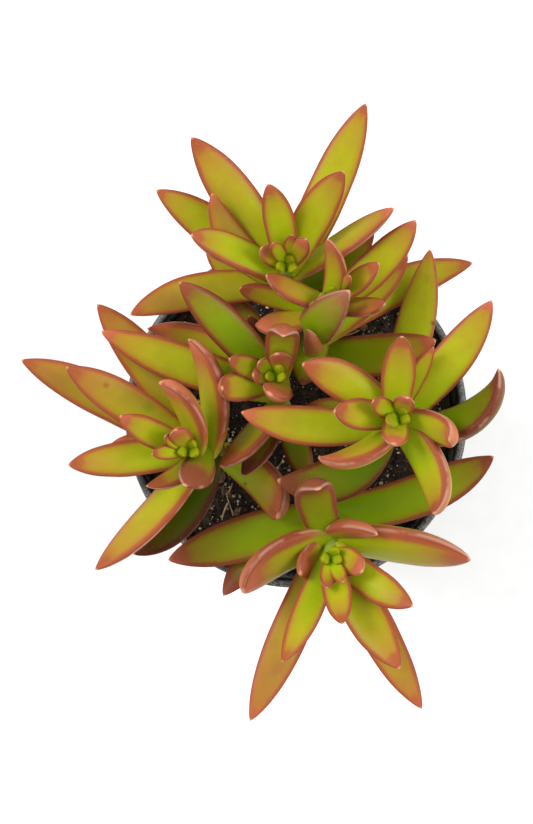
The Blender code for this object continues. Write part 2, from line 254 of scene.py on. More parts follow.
def inner_radius(height):
    """The pot's inside, at a height, where its wall tapers up to the collar."""
    collar_base = POT_HEIGHT - COLLAR_HEIGHT
    wall_top = RIM_RADIUS - LIP_WIDTH / 2 - COLLAR_STEP - WALL
    wall_foot = BASE_RADIUS - WALL
    return wall_foot + (wall_top - wall_foot) * min(height / collar_base, 1)


def pot_outline():
    """The pot's outline from its base up the outside, over the lip and down the inside to its floor."""
    lip = LIP_WIDTH / 2
    collar_base = POT_HEIGHT - COLLAR_HEIGHT
    collar_radius = RIM_RADIUS - lip
    wall_radius = inner_radius(collar_base) + WALL
    points = [(BASE_RADIUS - BASE_CHAMFER, 0)]
    for i in range(1, CHAMFER_BANDS + 1):
        turn = pi / 2 * i / CHAMFER_BANDS
        points.append((BASE_RADIUS - BASE_CHAMFER * (1 - sin(turn)), BASE_CHAMFER * (1 - cos(turn))))
    for i in range(1, WALL_BANDS + 1):
        share = i / WALL_BANDS
        height = BASE_CHAMFER + (collar_base - BASE_CHAMFER) * share
        points.append((BASE_RADIUS + (wall_radius - BASE_RADIUS) * share, height))
    for i in range(1, COLLAR_BANDS + 1):
        share = i / COLLAR_BANDS
        swell = (1 - cos(pi * share)) / 2
        radius = wall_radius + (collar_radius - wall_radius) * swell
        points.append((radius, collar_base + COLLAR_STEP * share))
    points.append((collar_radius, POT_HEIGHT - LIP_WIDTH - LIP_NECK))
    for i in range(LIP_POINTS):
        turn = radians(LIP_START + LIP_SWEEP * i / (LIP_POINTS - 1))
        points.append((collar_radius + lip * cos(turn), POT_HEIGHT - lip + lip * sin(turn)))
    points.append((collar_radius - WALL, POT_HEIGHT - LIP_WIDTH - lip))
    points.append((collar_radius - WALL, collar_base + COLLAR_STEP))
    points.append((inner_radius(collar_base), collar_base))
    points.append((inner_radius(FLOOR) + FILLET_OUT, FLOOR + FILLET_RISE))
    points.append((inner_radius(FLOOR) - FILLET_IN, FLOOR))
    return points


def maths(tree, operation, *values, clamp=False):
    inputs = dict(enumerate(values))
    return add_node(tree, "Math", inputs, operation=operation, use_clamp=clamp).outputs[0]


def product(tree, first, *others):
    for other in others:
        first = maths(tree, "MULTIPLY", first, other)
    return first


def graded(tree, value, low, high, to_low=0, to_high=1):
    """A value stretched evenly from one range to another, and held inside it."""
    inputs = {"Value": value, "From Min": low, "From Max": high, "To Min": to_low, "To Max": to_high}
    return add_node(tree, "MapRange", inputs).outputs["Result"]


def mix(tree, factor, first, second):
    """A colour blended into another by a factor. The second may be a plain colour."""
    if not isinstance(second, bpy.types.NodeSocket):
        second = (*second, 1)
    return add_node(tree, "Mix", {0: factor, 6: first, 7: second}, data_type="RGBA").outputs[2]


def add_bump(tree, shader, height, strength, distance):
    bump = add_node(tree, "Bump", {"Height": height, "Strength": strength, "Distance": distance})
    feed(tree, shader, {"Normal": bump.outputs["Normal"]})


def dust_and_sheen_group():
    """Fine pale dust, gathered in soft patches, and most of it where a face looks up. On the pot's lip the
    same mask is laid on thick as painted highlight.
    """
    tree = bpy.data.node_groups.new("dust_and_sheen", "ShaderNodeTree")
    for name in ("Amount", "Scale"):
        tree.interface.new_socket(name, in_out="INPUT", socket_type="NodeSocketFloat")
    tree.interface.new_socket("Mask", in_out="OUTPUT", socket_type="NodeSocketFloat")
    given = tree.nodes.new("NodeGroupInput")
    result = tree.nodes.new("NodeGroupOutput")
    place = object_place(tree)
    patches = graded(tree, noise_at(tree, place, given.outputs["Scale"], 4), *DUST_PATCH_RANGE)
    specks = graded(tree, noise_at(tree, place, DUST_SPECKS, 2, 0.7), *DUST_SPECK_RANGE)
    normal = add_node(tree, "NewGeometry").outputs["Normal"]
    upward = add_node(tree, "SeparateXYZ", {"Vector": normal}).outputs["Z"]
    lying = graded(tree, upward, *DUST_LEVEL_RANGE)
    dust_and_sheen_amount = product(tree, patches, specks, lying, given.outputs["Amount"])
    tree.links.new(dust_and_sheen_amount, result.inputs["Mask"])
    return tree


def dust_and_sheen_mask(tree, amount, scale):
    node = tree.nodes.new("ShaderNodeGroup")
    node.node_tree = bpy.data.node_groups.get("dust_and_sheen") or dust_and_sheen_group()
    feed(tree, node, {"Amount": amount, "Scale": scale})
    return node.outputs["Mask"]


def moulded_plastic():
    material, tree, shader = start_material("moulded_plastic", Specular_IOR_Level=0.55)
    place = object_place(tree)
    # Pale dust, thick enough on the up-facing lip to be a painted highlight there too
    dust_and_sheen = dust_and_sheen_mask(tree, *POT_DUST_AND_SHEEN)
    ripple = noise_at(tree, place, PLASTIC_RIPPLE, 3)
    peel = noise_at(tree, place, PLASTIC_PEEL, 2)
    black = ramp(tree, ripple, PLASTIC_STOPS)
    gloss = graded(tree, ripple, 0, 1, *PLASTIC_GLOSS)
    feed(tree, shader, {"Base Color": mix(tree, dust_and_sheen, black, POT_DUST_AND_SHEEN_COLOUR)})
    feed(tree, shader, {"Roughness": maths(tree, "MULTIPLY_ADD", dust_and_sheen, DUST_ROUGHENS, gloss)})
    add_bump(tree, shader, maths(tree, "ADD", ripple, peel), *PLASTIC_RELIEF)
    return material


def drill(number):
    """The cutter of one drain hole, which stands through the pot's base."""
    turn = 2 * pi * number / DRAIN_HOLES
    build = bmesh.new()
    bmesh.ops.create_cone(
        build,
        cap_ends=True,
        segments=DRAIN_SIDES,
        radius1=DRAIN_RADIUS,
        radius2=DRAIN_RADIUS,
        depth=DRILL_LENGTH,
    )
    mesh = bpy.data.meshes.new(f"drill_{number}")
    build.to_mesh(mesh)
    build.free()
    cutter = bpy.data.objects.new(f"drill_{number}", mesh)
    cutter.location = (DRAIN_CIRCLE * cos(turn), DRAIN_CIRCLE * sin(turn), 0)
    bpy.context.scene.collection.objects.link(cutter)
    return cutter


def turned_pot():
    """The pot, turned from its outline, with its drain holes cut."""
    build = bmesh.new()
    rings = [circle_of(build, radius, height, POT_SIDES) for radius, height in pot_outline()]
    for lower, upper in zip(rings, rings[1:]):
        bridge(build, lower, upper)
    fan(build, rings[0], build.verts.new((0, 0, 0)))
    fan(build, rings[-1], build.verts.new((0, 0, FLOOR)))
    pot = place_piece("nursery_pot", build, moulded_plastic(), ["pot"])
    drills = [drill(number) for number in range(DRAIN_HOLES)]
    for cutter in drills:
        cut = pot.modifiers.new(cutter.name, "BOOLEAN")
        cut.operation = "DIFFERENCE"
        cut.solver = "EXACT"
        cut.object = cutter
    bpy.context.view_layer.update()
    whole = bpy.data.meshes.new_from_object(pot.evaluated_get(bpy.context.evaluated_depsgraph_get()))
    pot.modifiers.clear()
    pot.data = whole
    for cutter in drills:
        bpy.data.objects.remove(cutter, do_unlink=True)


turned_pot()

# The soil: dark moist peat, filled in to a little under the rim and gently uneven. On it lie loose peat
# crumbs, flakes of bark, pale grains of sand and perlite, and a few dry straws.

SOIL_LEVEL = 0.073
SOIL_SWELL = 0.0007
WAVE_X = 190
WAVE_Y = 160
SLANT_X = 90
SLANT_Y = 230
SLANT_SHARE = 0.5
CLEARANCE = 0.0003
SOIL_EDGE = inner_radius(SOIL_LEVEL) - 5 * CLEARANCE
SOIL_SIDES = 180
SOIL_RINGS = 60
SOIL_ROUGHNESS = 0.0005
CLOD_RATE = 420
PEBBLE_RATE = 1100
PEBBLE_SHIFT = 0.01
PEBBLE_SHARE = 0.6

PEAT_CLODS = 700
PEAT_FIBRES = 1500
PEAT_STOPS = (
    (0.30, (0.004, 0.003, 0.002)),
    (0.52, (0.018, 0.011, 0.007)),
    (0.72, (0.085, 0.052, 0.030)),
)
PEAT_DUST = (0.5, 160)
PEAT_DUST_COLOUR = (0.14, 0.10, 0.07)
PEAT_RELIEF = (0.8, 0.0005)
BARK_GRAIN = 900
BARK_STOPS = (
    (0.30, (0.030, 0.015, 0.008)),
    (0.55, (0.110, 0.060, 0.030)),
    (0.75, (0.240, 0.140, 0.075)),
)
BARK_RELIEF = (0.6, 0.0003)
SAND_CELLS = 300
SAND_GRAIN = 2500
SAND_STOPS = (
    (0.1, (0.50, 0.41, 0.24)),
    (0.4, (0.30, 0.21, 0.10)),
    (0.8, (0.66, 0.60, 0.48)),
)
SAND_DIRT = (1.0, 300)
SAND_DIRT_COLOUR = (0.10, 0.07, 0.045)
SAND_RELIEF = (0.5, 0.0002)
STRAW_STREAKS = 1200
STRAW_STOPS = ((0.3, (0.22, 0.14, 0.06)), (0.7, (0.50, 0.38, 0.20)))
STRAW_RELIEF = (0.4, 0.0002)

# The loose lumps of each kind: how many, the seed of their draws, their sizes and how far from round
# they are. Sizes are the least, how much larger the largest is, and how rare the large ones are
CRUMBS = 1500
CRUMB_SEED = 11
CRUMB_SIZES = (0.0005, 0.0011, 2.5)
CRUMB_SHAPE = (0.7, 1.3)
CRUMB_RISE = (-0.1, 0.35)
CRUMB_ROUGHNESS = 0.7
FLAKES = 90
FLAKE_SEED = 12
FLAKE_LENGTH = (0.0012, 0.0034)
FLAKE_BREADTH = (0.35, 0.6)
FLAKE_DEPTH = (0.15, 0.3)
FLAKE_LIFT = 0.6
FLAKE_ROUGHNESS = 0.8
GRAINS = 1300
GRAIN_SEED = 13
GRAIN_SIZES = (0.00025, 0.0007, 4)
GRAIN_SHAPE = (0.75, 1.25)
GRAIN_LIFT = 0.0005
GRAIN_ROUGHNESS = 0.6
DENT_RATE = 3.1
TURN_MOST = 6
TIP_MOST = 3
FLAKE_TIP_MOST = 0.4

STRAWS = 9
STRAW_SEED = 14
STRAW_LIFT = 0.0008
STRAW_LENGTH = (0.003, 0.007)
STRAW_RADIUS = (0.0001, 0.0002)
STRAW_ARCH = 0.0004
STRAW_SPREAD = 0.9
STRAW_SPANS = 12
STRAW_SIDES = 8
STRAW_FLATNESS = 0.6
STRAW_TAPER = 0.4
FIRST_STRAW = ((228, 503), (222, 520), 0.0002, 0.0003)


def soil_height(x, y):
    """The soil's height, as its solid has it."""
    wave = sin(WAVE_X * x) * cos(WAVE_Y * y) + SLANT_SHARE * sin(SLANT_X * x - SLANT_Y * y)
    return SOIL_LEVEL + SOIL_SWELL * wave


def rough_soil_height(x, y):
    clods = noise.noise(Vector((x, y, 0)) * CLOD_RATE)
    pebbles = noise.noise(Vector((x, y, PEBBLE_SHIFT)) * PEBBLE_RATE)
    return soil_height(x, y) + SOIL_ROUGHNESS * (clods + PEBBLE_SHARE * pebbles)


def peat():
    material, tree, shader = start_material("peat", Roughness=0.95, Specular_IOR_Level=0.25)
    place = object_place(tree)
    clods = noise_at(tree, place, PEAT_CLODS, 6, 0.7)
    fibre = add_node(tree, "TexVoronoi", {"Vector": place, "Scale": PEAT_FIBRES}).outputs["Distance"]
    earth = mix(tree, dust_and_sheen_mask(tree, *PEAT_DUST), ramp(tree, clods, PEAT_STOPS), PEAT_DUST_COLOUR)
    feed(tree, shader, {"Base Color": earth})
    add_bump(tree, shader, maths(tree, "ADD", clods, fibre), *PEAT_RELIEF)
    return material


def soil_body(material):
    """The soil itself, as large as the solid that it stands for, with a roughened top."""
    build = bmesh.new()
    low = FLOOR + CLEARANCE
    collar_base = POT_HEIGHT - COLLAR_HEIGHT
    edge = inner_radius(collar_base) - CLEARANCE
    foot = circle_of(build, inner_radius(low) - CLEARANCE, low, SOIL_SIDES)
    last = circle_of(build, edge, collar_base - CLEARANCE, SOIL_SIDES)
    fan(build, foot, build.verts.new((0, 0, low)))
    bridge(build, foot, last)
    for step in range(SOIL_RINGS, 0, -1):
        ring = circle_of(build, edge * step / SOIL_RINGS, 0, SOIL_SIDES)
        for vert in ring:
            vert.co.z = rough_soil_height(vert.co.x, vert.co.y)
        bridge(build, last, ring)
        last = ring
    fan(build, last, build.verts.new((0, 0, rough_soil_height(0, 0))))
    place_piece("soil_fill", build, material, ["soil"], smooth_below=80)


def soil_spot(draw):
    """A place on the soil, anywhere inside the pot's wall."""
    radius = SOIL_EDGE * draw.random() ** 0.5
    turn = draw.uniform(0, 2 * pi)
    x = radius * cos(turn)
    y = radius * sin(turn)
    return Vector((x, y, rough_soil_height(x, y)))


def ball(rounds):
    """The points and faces of a ball, 1 across."""
    build = bmesh.new()
    bmesh.ops.create_icosphere(build, subdivisions=rounds, radius=0.5)
    build.verts.index_update()
    points = [vert.co.copy() for vert in build.verts]
    faces = [[vert.index for vert in face.verts] for face in build.faces]
    build.free()
    return points, faces


COARSE_BALL = ball(1)
FINE_BALL = ball(2)


def add_lump(build, middle, sizes, turn, seed, roughness, shape):
    """One lump: a ball pressed to its three sizes, knocked out of round and turned."""
    points, faces = shape
    spin = Matrix.Rotation(turn[0], 3, "Z") @ Matrix.Rotation(turn[1], 3, "X")
    made = []
    for point in points:
        dent = 1 + roughness * noise.noise(point * DENT_RATE + Vector((seed, 0, 0)))
        scaled_point = Vector((point.x * sizes[0], point.y * sizes[1], point.z * sizes[2]))
        made.append(build.verts.new(middle + spin @ (scaled_point * dent)))
    for face in faces:
        build.faces.new([made[i] for i in face])


def lump_size(draw, least, more, rarity):
    return least + more * draw.random() ** rarity


def tumbled(draw):
    """The turn and tip of a lump that lies any way up."""
    return draw.uniform(0, TURN_MOST), draw.uniform(0, TIP_MOST)


def crumbs(material):
    draw = Random(CRUMB_SEED)
    build = bmesh.new()
    for i in range(CRUMBS):
        size = lump_size(draw, *CRUMB_SIZES)
        sizes = [size * draw.uniform(*CRUMB_SHAPE) for _ in range(3)]
        middle = soil_spot(draw) + Vector((0, 0, size * draw.uniform(*CRUMB_RISE)))
        add_lump(build, middle, sizes, tumbled(draw), i, CRUMB_ROUGHNESS, COARSE_BALL)
    place_piece("peat_crumbs", build, material, smooth_below=60)


def bark():
    material, tree, shader = start_material("bark_flake", Roughness=0.8)
    grain = noise_at(tree, object_place(tree), BARK_GRAIN, 5, 0.65)
    feed(tree, shader, {"Base Color": ramp(tree, grain, BARK_STOPS)})
    add_bump(tree, shader, grain, *BARK_RELIEF)
    return material


def flakes():
    draw = Random(FLAKE_SEED)
    build = bmesh.new()
    for i in range(FLAKES):
        long = draw.uniform(*FLAKE_LENGTH)
        sizes = (long, long * draw.uniform(*FLAKE_BREADTH), long * draw.uniform(*FLAKE_DEPTH))
        middle = soil_spot(draw) + Vector((0, 0, sizes[2] * FLAKE_LIFT))
        turn = (draw.uniform(0, TURN_MOST), draw.uniform(-FLAKE_TIP_MOST, FLAKE_TIP_MOST))
        add_lump(build, middle, sizes, turn, i, FLAKE_ROUGHNESS, FINE_BALL)
    place_piece("bark_flakes", build, bark(), smooth_below=50)


def pale_grit():
    material, tree, shader = start_material("pale_grit", Roughness=0.6)
    place = object_place(tree)
    cells = add_node(tree, "TexVoronoi", {"Vector": place, "Scale": SAND_CELLS}).outputs["Distance"]
    fine = noise_at(tree, place, SAND_GRAIN, 3)
    sand = mix(tree, dust_and_sheen_mask(tree, *SAND_DIRT), ramp(tree, cells, SAND_STOPS), SAND_DIRT_COLOUR)
    feed(tree, shader, {"Base Color": sand})
    add_bump(tree, shader, fine, *SAND_RELIEF)
    return material


def grains():
    draw = Random(GRAIN_SEED)
    build = bmesh.new()
    for i in range(GRAINS):
        size = lump_size(draw, *GRAIN_SIZES)
        sizes = [size * draw.uniform(*GRAIN_SHAPE) for _ in range(3)]
        middle = soil_spot(draw) + Vector((0, 0, GRAIN_LIFT))
        add_lump(build, middle, sizes, tumbled(draw), i, GRAIN_ROUGHNESS, FINE_BALL)
    place_piece("pale_grains", build, pale_grit(), smooth_below=50)


soil_material = peat()
soil_body(soil_material)
crumbs(soil_material)
flakes()
grains()


def seen_at(across, down, height):
    """The point at a height that the photograph shows at a pixel."""
    scale = (CAMERA_HEIGHT - height) / FOCAL_PIXELS
    x = PLUMB_X + (across - PLUMB_ACROSS) * scale
    y = PLUMB_Y - (down - PLUMB_DOWN) * scale
    return Vector((x, y, height))


def dry_straw():
    material, tree, shader = start_material("dry_straw", Roughness=0.6)
    streak = noise_at(tree, object_place(tree), STRAW_STREAKS, 3)
    feed(tree, shader, {"Base Color": ramp(tree, streak, STRAW_STOPS)})
    add_bump(tree, shader, streak, *STRAW_RELIEF)
    return material


def add_straw(build, start, end, arch, radius):
    """One straw: a thin split stalk that bends a little on its way over the soil."""
    heading = (end - start).normalized()
    upright = Vector((0, 0, 1))
    side = heading.cross(upright).normalized()
    rings = []
    for i in range(STRAW_SPANS + 1):
        t = i / STRAW_SPANS
        middle = start.lerp(end, t) + (side * arch + upright * arch) * 4 * t * (1 - t)
        ring = []
        for k in range(STRAW_SIDES):
            angle = 2 * pi * k / STRAW_SIDES
            offset = side * cos(angle) * radius + upright * sin(angle) * radius * STRAW_FLATNESS
            ring.append(build.verts.new(middle + offset * (1 - STRAW_TAPER * t)))
        rings.append(ring)
    for lower, upper in zip(rings, rings[1:]):
        bridge(build, lower, upper)
    fan(build, rings[0], build.verts.new(start))
    fan(build, rings[-1], build.verts.new(end))


def straws():
    """The straw that the photograph shows at the lower left, and a few more strewn about."""
    draw = Random(STRAW_SEED)
    build = bmesh.new()
    near, far, arch, radius = FIRST_STRAW
    height = SOIL_LEVEL + STRAW_LIFT
    add_straw(build, seen_at(*near, height), seen_at(*far, height), arch, radius)
    for _ in range(STRAWS):
        start = soil_spot(draw) * STRAW_SPREAD
        start.z = soil_height(start.x, start.y) + STRAW_LIFT
        turn = draw.uniform(0, 2 * pi)
        end = start + Vector((cos(turn), sin(turn), 0)) * draw.uniform(*STRAW_LENGTH)
        if hypot(end.x, end.y) > SOIL_EDGE:
            end = start - (end - start)
        arch = draw.uniform(-STRAW_ARCH, STRAW_ARCH)
        add_straw(build, start, end, arch, draw.uniform(*STRAW_RADIUS))
    place_piece("straws", build, dry_straw(), smooth_below=80)


straws()

# The shoots: six stems of a rosette-forming stonecrop, each with its thick pointed leaves. A stem is
# bare below, with the scars of shed leaves, and stands in the soil. A leaf is firm and full of water,
# flat above and keeled below, with a waxy skin that reddens at its margin and tip in the sun.

MM = 0.001
STEM_DEPTH = 0.008
STEM_ROOT_RADIUS = 0.0026
STEM_CROWN_RADIUS = 0.0016
STEM_BEND = 0.45
STEM_SIDES = 28
STEM_RINGS = 110
STEM_SPANS = 20
KNOTTINESS = 0.07
KNOT_RATE = 14
SCAR_SPACING = 0.0026
SCAR_TURN = 137.5
SCAR_RAISE = 0.00022
SCAR_HEIGHT = 0.0008
SCAR_BREADTH = 0.0013
SCAR_PIT = 1.4
SCAR_PIT_SHARPNESS = 4

AIM_ROUNDS = 60
AIM_STRIDE = 0.5
WIDEST = 0.5
ROOT_BREADTH = 0.55
THICKEST = 0.4
ROOT_DEPTH = 0.75
UPPER_SWELL = 0.13
LOWER_SWELL = 0.35
TIP_ROUNDING = 2.3
TIP_FULLNESS = 0.8
DEPTH_ROUNDING = 2.6
SWELL_FULLNESS = 0.7
LEAF_RINGS = 34
LEAF_SIDES = 28
TIP_CROWDING = 0.55
UPPER_FLATNESS = 2.6
LOWER_KEEL = 1.9
UPPER_ROUNDNESS = 0.4
LOWER_ROUNDNESS = 0.85
MARGIN_WAVER = 0.035
MARGIN_RATE = 5
FACE_DENT = 0.05
FACE_DENT_ACROSS = 1.5
FACE_DENT_ALONG = 4
FACE_DENT_PLACE = 7
LEAF_SHIFT_X = 37
LEAF_SHIFT_Y = 11
FULL_WIDTH = 0.010
SMALLNESS_POWER = 0.8

BUD_LEAVES = 3
BUD_TURN = 137.5
BUD_START = 60
BUD_RISE = 70
BUD_LENGTH = 0.0065
BUD_WIDTH = 0.0030
BUD_FATNESS = 1.5
BUD_WARMTH = 0.3
FIRST_SEED = 100

# One leaf, as in the solids: the pixel of its tip, its rise in degrees, its width and its drop below the
# crown in millimetres, and its bow and sweep in hundredths of its length; then how warm its colour is,
# from green to tan, a low warmth also darkening it with painted shade, and how far it has reddened; then
# its roll in degrees and its hook
Leaf = namedtuple("Leaf", "across down rise width drop bow sweep warm blush roll hook", defaults=(0, 0))

TOP_LEAVES = (
    Leaf(273, 243, 68, 3.6, 1, -4, 0, 0.4, 0.4),
    Leaf(261, 248, 44, 5.5, 1.5, -4, 0, 0.4, 0.6),
    Leaf(292, 235, 58, 3.6, 1, -4, 0, 0.4, 0.7),
    Leaf(306, 239, 60, 5.5, 2, -4, 0, 0.5, 0.9),
    Leaf(268, 184, 45, 7.8, 4, -4, -3, 0.4, 0.5),
    Leaf(344, 171, 35, 9.5, 5, -4, 3, 0.5, 0.4),
    Leaf(191, 235, 35, 9.2, 6, -4, -5, 0.4, 0.5, roll=30),
    Leaf(191, 137, 15, 11, 8, -3, -2, 0.6, 0.5),
    Leaf(212, 193, 22, 7.8, 8, -3, 12, 0.7, 0.4),
    Leaf(394, 208, 27, 8.2, 8, -4, 4, 0.6, 0.5, roll=-45),
    Leaf(366, 103, 10, 10.5, 11, -3, -0.5, 0.5, 0.3),
    Leaf(156, 190, 10, 10.3, 12, -3, -2.5, 0.4, 0.4),
    Leaf(206, 242, 0, 8.5, 16, -3, 9, 0.4, 0.4),
    Leaf(130, 315, 6, 9.3, 13.5, -3, -8, 0.7, 0.4),
    Leaf(374, 230, 12, 9, 15, -3, -6, 0.2, 0.5),
)

UPPER_RIGHT_LEAVES = (
    Leaf(350, 276, 62, 4, 1, -4, 0, 0.4, 0.7),
    Leaf(379, 263, 42, 6.2, 3, -4, -1.5, 0.4, 0.7, roll=-20),
    Leaf(327, 239, 55, 6.8, 4, -4, -7, 0.6, 0.8, roll=-40),
    Leaf(266, 275, 38, 7.3, 4, -4, 1, 0.7, 0.8, roll=40),
    Leaf(385, 304, 42, 6.5, 5, -8, 3, 0.8, 0.9, roll=-40),
    Leaf(350, 290, 114, 10.5, 21, -14, -3, 0.2, 0.4),
    Leaf(416, 220, 22, 9, 7, -4, -4, 0.5, 0.4),
    Leaf(240, 288, 15, 7, 8.6, -7, 6, 0.4, 0.8, roll=-42, hook=0.4),
    Leaf(255, 325, 0, 9.5, 9, 0, 4, 0.6, 0.9, roll=50, hook=0.3),
    Leaf(408, 255, 10, 10.5, 24, -3, 0, 0.4, 0.6),
    Leaf(473, 263, -6, 10, 28, -3, 7, 0.4, 0.5),
    Leaf(307, 329, 97, 5.5, 37, -6, 2, 0.9, 0.8),
    Leaf(436, 340, 41, 11, 38, -3, -6, 0.4, 0.5),
    Leaf(302, 385, -12, 9, 18, 0, 0, 0.2, 0.2),
)

MIDDLE_LEAVES = (
    Leaf(259, 362, 56, 4.6, 1, -4, 0, 0.3, 0.2),
    Leaf(253, 375, 48, 5.4, 1.5, -4, 0, 0.3, 0.4),
    Leaf(276, 354, 60, 6.2, 1, -4, -12, 0.5, 0.8),
    Leaf(269, 393, 66, 8, 3, -4, 15, 0.5, 0.8),
    Leaf(229, 359, 42, 6, 3.5, -5, 0, 0.3, 0.5),
    Leaf(223, 388, 43, 7.6, 5, -10, 0, 0.4, 0.8, hook=0.8),
    Leaf(283, 337, 66, 8.5, 5, -16, 0, 0.3, 1, hook=0.6),
    Leaf(179, 282, 20, 9.7, 7, -3, -2, 0.2, 0.6),
    Leaf(249, 315, 8, 7, 12, -3, 0, 0.1, 1),
    Leaf(232, 296, 2, 10.5, 14, -3, 0, 0.3, 0.4),
    Leaf(101, 331, 4, 10.3, 10, -3, 2.5, 0.5, 0.5),
    Leaf(147, 329, -4, 10, 16, -3, -11, 0.5, 0.8, roll=-40),
    Leaf(220, 467, 15, 9.5, 13, -4, 0, 0.4, 0.9, roll=52),
    Leaf(242, 476, 6, 8.5, 17, -3, 0, 0.1, 0.9, roll=45),
    Leaf(308, 480, 0, 7, 28, 0, 0, 0.2, 0.5),
)

LEFT_LEAVES = (
    Leaf(176, 430, 66, 5.8, 1, -4, 0, 0.6, 0.9),
    Leaf(165, 436, 58, 4, 1, -4, 0, 0.4, 0.4),
    Leaf(152, 454, 52, 4, 1.5, -4, 0, 0.4, 0.6),
    Leaf(120, 416, 38, 7.2, 3.5, -4, 2, 0.4, 0.6),
    Leaf(146, 486, 30, 6.5, 6, -4, 13, 0.3, 1, roll=45),
    Leaf(184, 486, 114, 9, 11, 4, -5, 0.2, 1),
    Leaf(159, 383, 42, 10.5, 5, -9, -5, 0.5, 0.9, roll=-64, hook=0.4),
    Leaf(188, 339, 24, 11.8, 12.8, -8, -9, 0.5, 0.9, roll=-62, hook=0.3),
    Leaf(66, 367, 18, 10, 7, -3, -1, 0.7, 0.6),
    Leaf(68, 465, 18, 9.2, 7, -3, 0, 0.5, 0.6),
    Leaf(21, 360, 7, 10.5, 10, -3, -2, 0.7, 0.5),
    Leaf(111, 444, 4, 8, 11, -3, 0, 0.4, 0.7),
    Leaf(95, 570, 9, 10, 11, -3, 1.5, 0.6, 0.7, roll=40),
    Leaf(97, 304, 3, 11, 15, -3, -2, 0.7, 0.5),
    Leaf(132, 554, 0, 12, 17, -3, 9, 0, 0.7, roll=20),
    Leaf(277, 517, 30, 12.5, 27, -18, 0, 0.4, 0.8, roll=42, hook=0.4),
)

RIGHT_LEAVES = (
    Leaf(389, 423, 70, 4, 1, -4, 0, 0.3, 0.1),
    Leaf(373, 401, 56, 5, 1.5, -4, 0, 0.4, 0.5),
    Leaf(407, 398, 68, 5.5, 1.5, -4, 0, 0.5, 0.7),
    Leaf(394, 444, 60, 7, 2.5, -4, 0, 0.4, 0.6),
    Leaf(334, 411, 42, 8, 4, -4, 0, 0.4, 0.6),
    Leaf(402, 336, 38, 8.5, 5, -4, 0, 0.5, 0.5),
    Leaf(448, 440, 42, 9, 5.5, -13, 0, 0.4, 0.6, roll=42, hook=1.2),
    Leaf(433, 514, 26, 12, 8, -13, 4, 0.4, 0.5, roll=56, hook=0.6),
    Leaf(318, 457, 24, 10.5, 8, -9, 15, 0.5, 0.7, roll=68, hook=0.4),
    Leaf(302, 364, 27, 10, 7, -4, -6, 0.5, 0.6),
    Leaf(241, 412, 10, 10, 10, -3, 6, 0.5, 0.5),
    Leaf(492, 300, 14, 9.8, 9, -3, -4.5, 0.5, 0.3),
    Leaf(434, 347, 22, 4.5, 9, -3, 0, 0.4, 0.3),
    Leaf(498, 368, 25, 13, 12, -18, -13, 0.1, 0.5, roll=-58, hook=0.5),
    Leaf(303, 408, 3, 9, 16, -3, 0, 0.2, 0.5),
    Leaf(430, 249, 1, 10.5, 30, -3, -3, 0.4, 0.2, roll=-15),
    Leaf(277, 480, 0, 12, 17, -3, 21, 0.1, 0.5),
)

BOTTOM_LEAVES = (
    Leaf(343, 582, 63, 4, 1, -4, 0, 0.4, 0.4),
    Leaf(327, 588, 56, 4.4, 1.5, -4, 0, 0.5, 0.7),
    Leaf(362, 572, 48, 7, 2, -4, 6, 0.4, 0.6),
    Leaf(301, 574, 42, 8.5, 9.5, -6, 2, 0.6, 0.9, roll=-52, hook=0.2),
    Leaf(342, 624, 46, 7.3, 4, -4, 0, 0.4, 0.6),
    Leaf(413, 606, 32, 8.5, 5, -4, -4, 0.4, 0.6),
    Leaf(243, 593, 24, 14, 8, -9, -2, 0.3, 0.9, roll=-58, hook=0.3),
    Leaf(319, 490, 55, 10.5, 7, -18, 5, 0.2, 0.9, hook=0.5),
    Leaf(378, 535, 40, 10, 10, -4, 14, 0.6, 1, roll=72),
    Leaf(400, 669, 22, 10.5, 7, -3, -3, 0.5, 0.5),
    Leaf(282, 662, 26, 7.5, 7, -4, 3, 0.4, 0.6),
    Leaf(471, 560, 11, 14.5, 9, -3, -4, 0.5, 0.7, roll=58),
    Leaf(422, 709, 8, 9.8, 11, -3, -1.5, 0.7, 0.5),
    Leaf(250, 721, 8, 10, 11, -3, 0.5, 0.8, 0.5),
    Leaf(168, 560, -3, 12, 25, -3, 0.5, 0.3, 0.6),
    Leaf(223, 596, -5, 10, 27, -3, -10, 0.2, 0.8, roll=20),
    Leaf(494, 456, 2, 11.5, 24, -3, -7, 0.2, 0.5),
)

Shoot = namedtuple("Shoot", "name root_x root_y crown_across crown_down crown_height leaves")

SHOOTS = (
    Shoot("shoot_top", -0.004, 0.025, 287, 262, 0.115, TOP_LEAVES),
    Shoot("shoot_upper_right", 0.003, 0.016, 330, 293, 0.114, UPPER_RIGHT_LEAVES),
    Shoot("shoot_middle", -0.002, -0.003, 275, 371, 0.110, MIDDLE_LEAVES),
    Shoot("shoot_left", -0.018, -0.010, 186, 449, 0.112, LEFT_LEAVES),
    Shoot("shoot_right", 0.020, -0.005, 400, 415, 0.120, RIGHT_LEAVES),
    Shoot("shoot_bottom", 0.009, -0.021, 331, 560, 0.112, BOTTOM_LEAVES),
)

# Old marks on the leaves, each a small discoloured spot: its pixel, about how high it is, its radius, its
# colour and how strong it is
Mark = namedtuple("Mark", "across down height radius colour strength")

MARKS = (
    Mark(106, 385, 0.115, 0.0012, (0.30, 0.09, 0.02), 0.75),
    Mark(149, 407, 0.112, 0.0026, (0.17, 0.20, 0.01), 0.45),
    Mark(433, 323, 0.092, 0.0012, (0.07, 0.02, 0.01), 0.85),
    Mark(245, 484, 0.090, 0.0008, (0.14, 0.07, 0.01), 0.75),
)

# What a point of a leaf's skin knows of its place, for the material: how far along the leaf it lies, its
# distance from the margin and from the tip in millimetres, as they would be on a full-grown leaf, and
# whether it is on the underside; then its leaf's own traits
TRAITS = ("along", "margin", "tip", "under", "warm", "blush", "chance")
